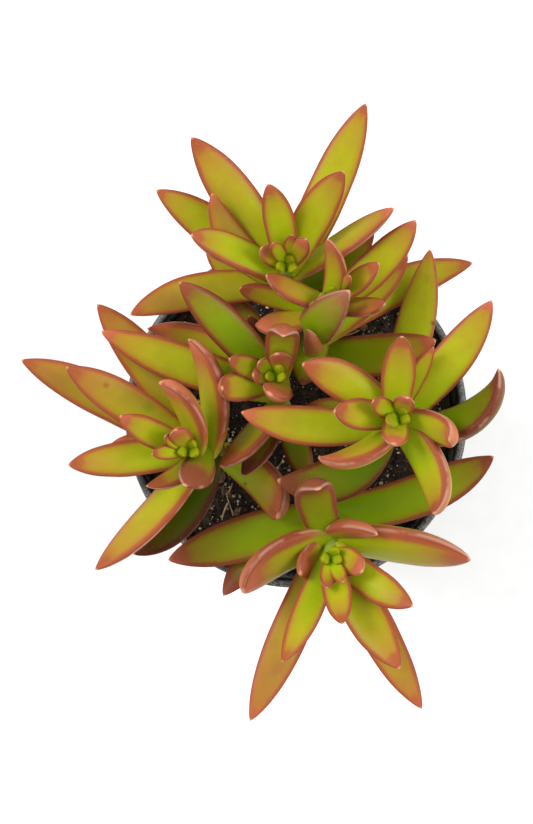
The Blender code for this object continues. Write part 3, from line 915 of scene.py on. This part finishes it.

# The leaf's colours: its flesh as it ripens, its blush as it deepens, the rosy tint and the pale wax with
# painted sheen that some of the blush has, the black of the painted shade, the painted edge highlight, and
# what lies over both
FLESH_STOPS = (
    (0.00, (0.240, 0.385, 0.002)),
    (0.30, (0.325, 0.445, 0.005)),
    (0.50, (0.365, 0.395, 0.008)),
    (0.68, (0.360, 0.300, 0.014)),
    (0.85, (0.345, 0.215, 0.025)),
    (1.00, (0.310, 0.140, 0.032)),
)
BLUSH_STOPS = (
    (0.00, (0.390, 0.240, 0.015)),
    (0.35, (0.365, 0.150, 0.024)),
    (0.70, (0.330, 0.092, 0.028)),
    (1.00, (0.310, 0.070, 0.032)),
)
ROSY = (0.56, 0.150, 0.080)
# The pale pink of the undersides: partly their wax bloom, partly painted sheen
WAX_AND_SHEEN = (0.54, 0.230, 0.115)
# Painted shade: the black that the leaves lying low among the others are darkened towards
PAINTED_SHADE = (0, 0, 0)
MARGIN_LINE = (0.16, 0.035, 0.012)
TIP_POINT = (0.72, 0.38, 0.20)
# Painted highlight: the light caught along the margin of the underside
PAINTED_EDGE_HIGHLIGHT = (0.72, 0.50, 0.38)
BLOOM = (0.80, 0.72, 0.55)

# How the flesh ripens, along the leaf and by cloudy patches. A leaf that is not warm gets painted shade, a
# blend towards black: from the first warmth to the second, its painted shade goes from the third value to
# the fourth
RIPE_ALONG = 0.55
RIPE_CLOUD = 0.35
RIPE_START = -0.43
PAINTED_SHADE_BY_WARMTH = (0, 0.4, 0.8, 0)

# How far the blush reaches in from the margin and from the tip, in millimetres: each is a pair, so much
# for each unit of blush and so much besides. The third is such a pair for the place along the leaf
RIM_HARD = (1.5, 0.6)
RIM_SOFT = (3.8, 0.9)
RIM_WIDENS = (1.1, 0.4)
TIP_HARD = (9.0, 1.5)
TIP_SOFT = (20.0, 4.0)
RIM_STRAY = 0.35
TIP_STRAY = 2.5
SOFT_SHARE = 0.55
FULL_RED = 0.60
TINGE_GAIN = 4
STRAY_CLOUD = 1.6
STRAY_MOTTLE = 0.6
STRAY_START = -1.1

# Where each part of the colour shows, as the two values that it fades between, and how strong it is
RIM_AT = (0.05, 1)
SPARED_ALONG = (0, 0.4)
SPARED_SHARE = -0.7
BACK_BLUSH = (0.95, 0.5)
BACK_ALONG = (0.95, 0.2)
ROSY_CHANCE = (0.8, 0.2)
ROSY_STRENGTH = 0.7
WAX_AND_SHEEN_ALONG = (1, 0.3)
WAX_AND_SHEEN_STRENGTH = (-0.40, 0.55)
LINE_AT = (0.05, 0.45)
LINE_ALONG = (1, 0.15)
LINE_STRENGTH = 0.8
POINT_AT = (0.15, 0.8)
POINT_STRENGTH = 0.6
EDGE_HIGHLIGHT_AT = (0.05, 0.5)
EDGE_HIGHLIGHT_PATCHES = (0.55, 0.4)
EDGE_HIGHLIGHT_STRENGTH = 0.35
BLOOM_SPECKS = (0.05, 0.45)
BLOOM_PATCHES = (0.62, 0.42)
BLOOM_STRENGTH = (0.08, 0.01)

CLOUD_RATE = 190
MOTTLE_RATE = 900
WAX_SPECKS = 2600
GLOSS_MOTTLE = (0.3, 0.7)
LEAF_GLOSS = (0.33, 0.47)
RELIEF_CLOUD = 1.5
RELIEF_MOTTLE = 0.35
LEAF_RELIEF = (0.25, 0.0006)

STEM_STREAKS = 650
STEM_STOPS = (
    (0.05, (0.16, 0.10, 0.055)),
    (0.40, (0.24, 0.17, 0.075)),
    (0.75, (0.22, 0.25, 0.045)),
    (1.00, (0.24, 0.34, 0.030)),
)
STEM_RIPE_START = 0.2
STEM_RIPE_STREAK = 0.4
STEM_RELIEF = (0.4, 0.0004)


class Stem:
    """A stem's middle line: upright out of the soil, then bent over to the crown."""

    SAMPLES = 40

    def __init__(self, shoot):
        self.root = Vector((shoot.root_x, shoot.root_y, SOIL_LEVEL - STEM_DEPTH))
        self.crown = seen_at(shoot.crown_across, shoot.crown_down, shoot.crown_height)
        bend = SOIL_LEVEL + STEM_BEND * (shoot.crown_height - SOIL_LEVEL)
        self.knee = Vector((shoot.root_x, shoot.root_y, bend))

    def point(self, t):
        return (1 - t) ** 2 * self.root + 2 * t * (1 - t) * self.knee + t * t * self.crown

    def heading(self, t):
        return ((1 - t) * (self.knee - self.root) + t * (self.crown - self.knee)).normalized()

    def length(self):
        points = [self.point(i / STEM_SPANS) for i in range(STEM_SPANS + 1)]
        return sum((upper - lower).length for lower, upper in zip(points, points[1:]))

    def below_crown(self, drop):
        """The point that lies a distance along the stem below its crown."""
        left = drop
        for i in range(self.SAMPLES, 0, -1):
            upper = self.point(i / self.SAMPLES)
            lower = self.point((i - 1) / self.SAMPLES)
            step = (lower - upper).length
            if left <= step:
                return upper.lerp(lower, left / step)
            left -= step
        return self.root


def scar_relief(height, angle, radius, scars):
    """How far the scars of shed leaves raise a stem's skin at a point, each a low mound with a pit."""
    relief = 0
    for scar_height, turn in scars:
        if abs(height - scar_height) < SCAR_SPACING:
            off_height = (height - scar_height) / SCAR_HEIGHT
            off_turn = ((angle - turn + pi) % (2 * pi) - pi) * radius / SCAR_BREADTH
            near = off_height * off_height + off_turn * off_turn
            relief += SCAR_RAISE * (exp(-near) - SCAR_PIT * exp(-SCAR_PIT_SHARPNESS * near))
    return relief


def stem_skin(stem, seed):
    """A stem's skin, a little knotty, with the scars of shed leaves winding up it."""
    build = bmesh.new()
    along_layer = build.verts.layers.float.new("along")
    length = stem.length()
    scars = [(i * SCAR_SPACING, radians(SCAR_TURN * i)) for i in range(int(length / SCAR_SPACING))]
    rings = []
    for i in range(STEM_RINGS):
        t = i / (STEM_RINGS - 1)
        side = stem.heading(t).cross(Vector((0, 1, 0))).normalized()
        front = side.cross(stem.heading(t))
        base_radius = STEM_ROOT_RADIUS + (STEM_CROWN_RADIUS - STEM_ROOT_RADIUS) * t
        ring = []
        for k in range(STEM_SIDES):
            angle = 2 * pi * k / STEM_SIDES
            knot = noise.noise(Vector((cos(angle), sin(angle), t * KNOT_RATE + seed)))
            radius = base_radius * (1 + KNOTTINESS * knot)
            radius += scar_relief(t * length, angle, base_radius, scars)
            vert = build.verts.new(stem.point(t) + radius * (side * cos(angle) - front * sin(angle)))
            vert[along_layer] = t
            ring.append(vert)
        rings.append(ring)
    for lower, upper in zip(rings, rings[1:]):
        bridge(build, lower, upper)
    fan(build, rings[0], build.verts.new(stem.root))
    tip = build.verts.new(stem.crown + stem.heading(1) * STEM_CROWN_RADIUS / 2)
    tip[along_layer] = 1
    fan(build, rings[-1], tip)
    return build


def aim(base, leaf):
    """The turn and length of the straight line from a leaf's base to its tip in the photograph."""
    climb = abs(tan(radians(leaf.rise))) if leaf.rise > 90 else tan(radians(leaf.rise))
    height = base.z
    for _ in range(AIM_ROUNDS):
        tip = seen_at(leaf.across, leaf.down, height)
        reach = hypot(tip.x - base.x, tip.y - base.y)
        height += AIM_STRIDE * (base.z + reach * climb - height)
    turn = atan2(tip.y - base.y, tip.x - base.x)
    if leaf.rise > 90:
        turn += pi
    return turn, (tip - base).length


def breadth(t):
    """A leaf's breadth along its length, as a share of its width."""
    if t < WIDEST:
        return 1 - (1 - ROOT_BREADTH) * ((WIDEST - t) / WIDEST) ** 2
    return (1 - ((t - WIDEST) / (1 - WIDEST)) ** TIP_ROUNDING) ** TIP_FULLNESS


def depth(t):
    """A leaf's thickness along its length, as a share of its thickest."""
    if t < THICKEST:
        swell = ROOT_DEPTH + (1 - ROOT_DEPTH) * sin(pi / 2 * t / THICKEST)
    else:
        swell = 1 - ((t - THICKEST) / (1 - THICKEST)) ** DEPTH_ROUNDING
    return swell ** SWELL_FULLNESS


def section(angle):
    """A leaf's cross-section: its side and height for one turn round it, flat above and keeled below."""
    side = cos(angle)
    upper = sin(angle) >= 0
    power = UPPER_FLATNESS if upper else LOWER_KEEL
    roundness = UPPER_ROUNDNESS if upper else LOWER_ROUNDNESS
    height = roundness * abs(sin(angle)) + (1 - roundness) * (1 - abs(side) ** power)
    return side, height * (UPPER_SWELL if upper else -LOWER_SWELL)


def add_leaf(build, layers, base, turn, rise, length, width, traits, bow=0, sweep=0, roll=0, hook=0, fat=1):
    """Adds one leaf's skin, whose middle line bows, sweeps and hooks about the line to its tip."""
    warm, blush, chance = traits
    ahead = Vector((cos(rise) * cos(turn), cos(rise) * sin(turn), sin(rise)))
    level = Vector((-sin(turn), cos(turn), 0))
    above = ahead.cross(level)
    left = level * cos(roll) + above * sin(roll)
    face = above * cos(roll) - level * sin(roll)
    bulge = 4 * (face * bow + left * sweep) / 100
    shift = Vector((chance * LEAF_SHIFT_X, chance * LEAF_SHIFT_Y, 0))
    smallness = (width / FULL_WIDTH) ** SMALLNESS_POWER

    def add_point(spot, t, margin, under):
        vert = build.verts.new(spot)
        tip = (1 - t) * length / MM / smallness
        values = (t, margin / MM / smallness, tip, under, warm, blush, chance)
        for name, value in zip(TRAITS, values):
            vert[layers[name]] = value
        return vert

    rings = []
    for i in range(LEAF_RINGS):
        share = i / LEAF_RINGS
        t = (1 - TIP_CROWDING) * share + TIP_CROWDING * sin(pi / 2 * share)
        middle = base + length * (ahead * (t + hook * t * t * (1 - t)) + bulge * t * (1 - t))
        along = (ahead * (1 + hook * (2 * t - 3 * t * t)) + bulge * (1 - 2 * t)).normalized()
        side = (left - along * left.dot(along)).normalized()
        normal = along.cross(side)
        waver = 1 + MARGIN_WAVER * noise.noise(shift + Vector((0, 0, t * MARGIN_RATE)))
        half = breadth(t) * width / 2 * waver
        ring = []
        for k in range(LEAF_SIDES):
            across, height = section(2 * pi * k / LEAF_SIDES)
            dent_at = shift + Vector((across * FACE_DENT_ACROSS, t * FACE_DENT_ALONG, FACE_DENT_PLACE))
            dent = 1 + FACE_DENT * noise.noise(dent_at)
            spot = middle + side * across * half + normal * height * fat * dent * depth(t) * width
            under = 0 if k <= LEAF_SIDES // 2 else 1
            ring.append(add_point(spot, t, (1 - abs(across)) * half, under))
        rings.append(ring)
    for lower, upper in zip(rings, rings[1:]):
        bridge(build, lower, upper)
    fan(build, rings[0], add_point(base, 0, width / 2, 0))
    fan(build, rings[-1], add_point(base + ahead * length, 1, 0, 0))


def trait(tree, name):
    return add_node(tree, "Attribute", attribute_name=name).outputs["Fac"]


def scaled(tree, value, slope, start):
    return maths(tree, "MULTIPLY_ADD", value, slope, start)


def fade(tree, value, near, far, kind="SMOOTHSTEP"):
    """One where a value is at near or before it, falling to nought at far."""
    inputs = {"Value": value, "From Min": near, "From Max": far, "To Min": 1, "To Max": 0}
    return add_node(tree, "MapRange", inputs, interpolation_type=kind).outputs["Result"]


# The sockets that the leaf's colours are made from: its traits, its place, and two noises, one with
# spots of some millimetres and one finer. Stray is how unevenly a border runs
Skin = namedtuple("Skin", TRAITS + ("place", "cloud", "mottle", "stray"))

# What is known of the blush: how red a point is, whether its leaf reddens at all, how near it is to the
# red point of the tip, and how red the underside is
Blush = namedtuple("Blush", "red tinged tip_hard back")


def read_skin(tree):
    place = object_place(tree)
    cloud = noise_at(tree, place, CLOUD_RATE, 3)
    mottle = noise_at(tree, place, MOTTLE_RATE, 4)
    stray = scaled(tree, cloud, STRAY_CLOUD, scaled(tree, mottle, STRAY_MOTTLE, STRAY_START))
    return Skin(*(trait(tree, name) for name in TRAITS), place, cloud, mottle, stray)


def flesh_colour(tree, skin):
    """The flesh, from lime green near the stem to tan on leaves that have seen much sun."""
    ripe = scaled(tree, skin.along, RIPE_ALONG, scaled(tree, skin.cloud, RIPE_CLOUD, RIPE_START))
    return ramp(tree, maths(tree, "ADD", ripe, skin.warm, clamp=True), FLESH_STOPS)


def find_blush(tree, skin):
    """How red the skin is: full at the tip and margin, running out softly, and none on a bud."""
    margin_at = scaled(tree, skin.stray, RIM_STRAY, skin.margin)
    tip_at = scaled(tree, skin.stray, TIP_STRAY, skin.tip)
    reach = product(tree, scaled(tree, skin.blush, *RIM_SOFT), scaled(tree, skin.along, *RIM_WIDENS))
    rim_hard = maths(tree, "DIVIDE", margin_at, scaled(tree, skin.blush, *RIM_HARD))
    rim_soft = maths(tree, "DIVIDE", margin_at, reach)
    tip_hard = maths(tree, "DIVIDE", tip_at, scaled(tree, skin.blush, *TIP_HARD))
    tip_soft = maths(tree, "DIVIDE", tip_at, scaled(tree, skin.blush, *TIP_SOFT))
    tip_hard = fade(tree, tip_hard, 0, 1)
    spared = scaled(tree, fade(tree, skin.along, *SPARED_ALONG), SPARED_SHARE, 1)
    hard = maths(tree, "MAXIMUM", product(tree, fade(tree, rim_hard, *RIM_AT), spared), tip_hard)
    soft = product(tree, fade(tree, rim_soft, 0, 1, "LINEAR"), spared)
    soft = maths(tree, "MAXIMUM", soft, fade(tree, tip_soft, 0, 1, "LINEAR"))
    red = scaled(tree, soft, SOFT_SHARE, product(tree, hard, 1 - SOFT_SHARE))
    back = product(tree, skin.under, fade(tree, skin.blush, *BACK_BLUSH))
    back = product(tree, back, fade(tree, skin.along, *BACK_ALONG))
    tinged = maths(tree, "MULTIPLY", skin.blush, TINGE_GAIN, clamp=True)
    red = product(tree, maths(tree, "MAXIMUM", red, back), tinged)
    return Blush(red, tinged, tip_hard, back)


def blush_colour(tree, skin, blush):
    """The red itself, rosier at the tips of some leaves, and paler on the undersides with their wax bloom
    and painted sheen.
    """
    rosy = product(tree, fade(tree, skin.chance, *ROSY_CHANCE), blush.tip_hard, ROSY_STRENGTH)
    # The undersides made paler and pinker: wax bloom together with painted sheen
    wax_and_sheen = scaled(tree, blush.back, *WAX_AND_SHEEN_STRENGTH)
    wax_and_sheen = product(tree, fade(tree, skin.along, *WAX_AND_SHEEN_ALONG), wax_and_sheen, skin.under)
    colour = mix(tree, rosy, ramp(tree, blush.red, BLUSH_STOPS), ROSY)
    return mix(tree, wax_and_sheen, colour, WAX_AND_SHEEN)


def edge_colours(tree, skin, blush, colour):
    """A thin dark line at the margin, the pale hard point of the tip, and a painted highlight along the
    underside's margin.
    """
    line = product(tree, fade(tree, skin.margin, *LINE_AT), skin.blush, LINE_STRENGTH)
    line = product(tree, line, fade(tree, skin.along, *LINE_ALONG))
    colour = mix(tree, line, colour, MARGIN_LINE)
    point = product(tree, fade(tree, skin.tip, *POINT_AT), blush.tinged, POINT_STRENGTH)
    colour = mix(tree, point, colour, TIP_POINT)
    # Painted highlight: a pale band, in patches, along the margin of the underside
    edge = product(tree, skin.under, fade(tree, skin.margin, *EDGE_HIGHLIGHT_AT), blush.tinged)
    edge = product(tree, edge, fade(tree, skin.cloud, *EDGE_HIGHLIGHT_PATCHES), EDGE_HIGHLIGHT_STRENGTH)
    return mix(tree, edge, colour, PAINTED_EDGE_HIGHLIGHT)


def mark_colours(tree, skin, colour):
    """The old marks, which lie where the photograph shows them from above."""
    flat = add_node(tree, "VectorMath", {0: skin.place, 1: (1, 1, 0)}, operation="MULTIPLY")
    for mark in MARKS:
        spot = seen_at(mark.across, mark.down, mark.height)
        inputs = {0: flat.outputs["Vector"], 1: (spot.x, spot.y, 0)}
        off = add_node(tree, "VectorMath", inputs, operation="DISTANCE").outputs["Value"]
        ragged = scaled(tree, skin.stray, mark.radius, off)
        shown = product(tree, fade(tree, ragged, 0, mark.radius), mark.strength)
        colour = mix(tree, shown, colour, mark.colour)
    return colour


def wax_bloom(tree, skin, blush, colour):
    """A thin pale bloom of wax, in fine specks, most of it on the blush."""
    specks = add_node(tree, "TexVoronoi", {"Vector": skin.place, "Scale": WAX_SPECKS}).outputs["Distance"]
    bloom = product(
        tree,
        fade(tree, specks, *BLOOM_SPECKS),
        fade(tree, skin.mottle, *BLOOM_PATCHES),
        scaled(tree, blush.red, *BLOOM_STRENGTH),
    )
    return mix(tree, bloom, colour, BLOOM)


def waxy_leaf():
    material, tree, shader = start_material(
        "waxy_leaf",
        Specular_IOR_Level=0.06,
        Subsurface_Weight=0.15,
        Subsurface_Scale=0.0025,
        Subsurface_Radius=(1.0, 0.7, 0.15),
        Coat_Weight=0.05,
        Coat_Roughness=0.25,
    )
    skin = read_skin(tree)
    blush = find_blush(tree, skin)
    redness = fade(tree, blush.red, FULL_RED, 0, "LINEAR")
    colour = mix(tree, redness, flesh_colour(tree, skin), blush_colour(tree, skin, blush))
    # Painted shade: the leaves that lie low among the others, least in the light, are darkened all over
    # towards black
    colour = mix(tree, graded(tree, skin.warm, *PAINTED_SHADE_BY_WARMTH), colour, PAINTED_SHADE)
    colour = edge_colours(tree, skin, blush, colour)
    colour = mark_colours(tree, skin, colour)
    feed(tree, shader, {"Base Color": wax_bloom(tree, skin, blush, colour)})
    feed(tree, shader, {"Roughness": graded(tree, skin.mottle, *GLOSS_MOTTLE, *LEAF_GLOSS)})
    relief = scaled(tree, skin.cloud, RELIEF_CLOUD, product(tree, skin.mottle, RELIEF_MOTTLE))
    add_bump(tree, shader, relief, *LEAF_RELIEF)
    return material


def woody_stem():
    material, tree, shader = start_material("woody_stem", Roughness=0.6, Specular_IOR_Level=0.35)
    streak = noise_at(tree, object_place(tree), STEM_STREAKS, 5)
    young = maths(tree, "SUBTRACT", trait(tree, "along"), STEM_RIPE_START)
    young = maths(tree, "MULTIPLY_ADD", streak, STEM_RIPE_STREAK, young, clamp=True)
    feed(tree, shader, {"Base Color": ramp(tree, young, STEM_STOPS)})
    add_bump(tree, shader, streak, *STEM_RELIEF)
    return material


def grow(shoot, number, leaf_material, stem_material):
    """One shoot: the skin of its stem, and that of all its leaves and of the bud on its crown."""
    stem = Stem(shoot)
    place_piece(shoot.name + "_stem", stem_skin(stem, number), stem_material, [shoot.name])
    draw = Random(FIRST_SEED + number)
    build = bmesh.new()
    layers = {name: build.verts.layers.float.new(name) for name in TRAITS}
    for i in range(BUD_LEAVES):
        base = stem.below_crown(STEM_CROWN_RADIUS)
        traits = (BUD_WARMTH, 0, draw.random())
        size = (BUD_LENGTH, BUD_WIDTH)
        turn = radians(BUD_START + BUD_TURN * i)
        add_leaf(build, layers, base, turn, radians(BUD_RISE), *size, traits, fat=BUD_FATNESS)
    for leaf in shoot.leaves:
        base = stem.below_crown(leaf.drop * MM)
        turn, length = aim(base, leaf)
        traits = (leaf.warm, leaf.blush, draw.random())
        curve = (leaf.bow, leaf.sweep, radians(leaf.roll), leaf.hook)
        add_leaf(build, layers, base, turn, radians(leaf.rise), length, leaf.width * MM, traits, *curve)
    place_piece(shoot.name + "_leaves", build, leaf_material, [shoot.name], smooth_below=75)


leaf_skin = waxy_leaf()
stem_bark = woody_stem()
for number, shoot in enumerate(SHOOTS):
    grow(shoot, number, leaf_skin, stem_bark)
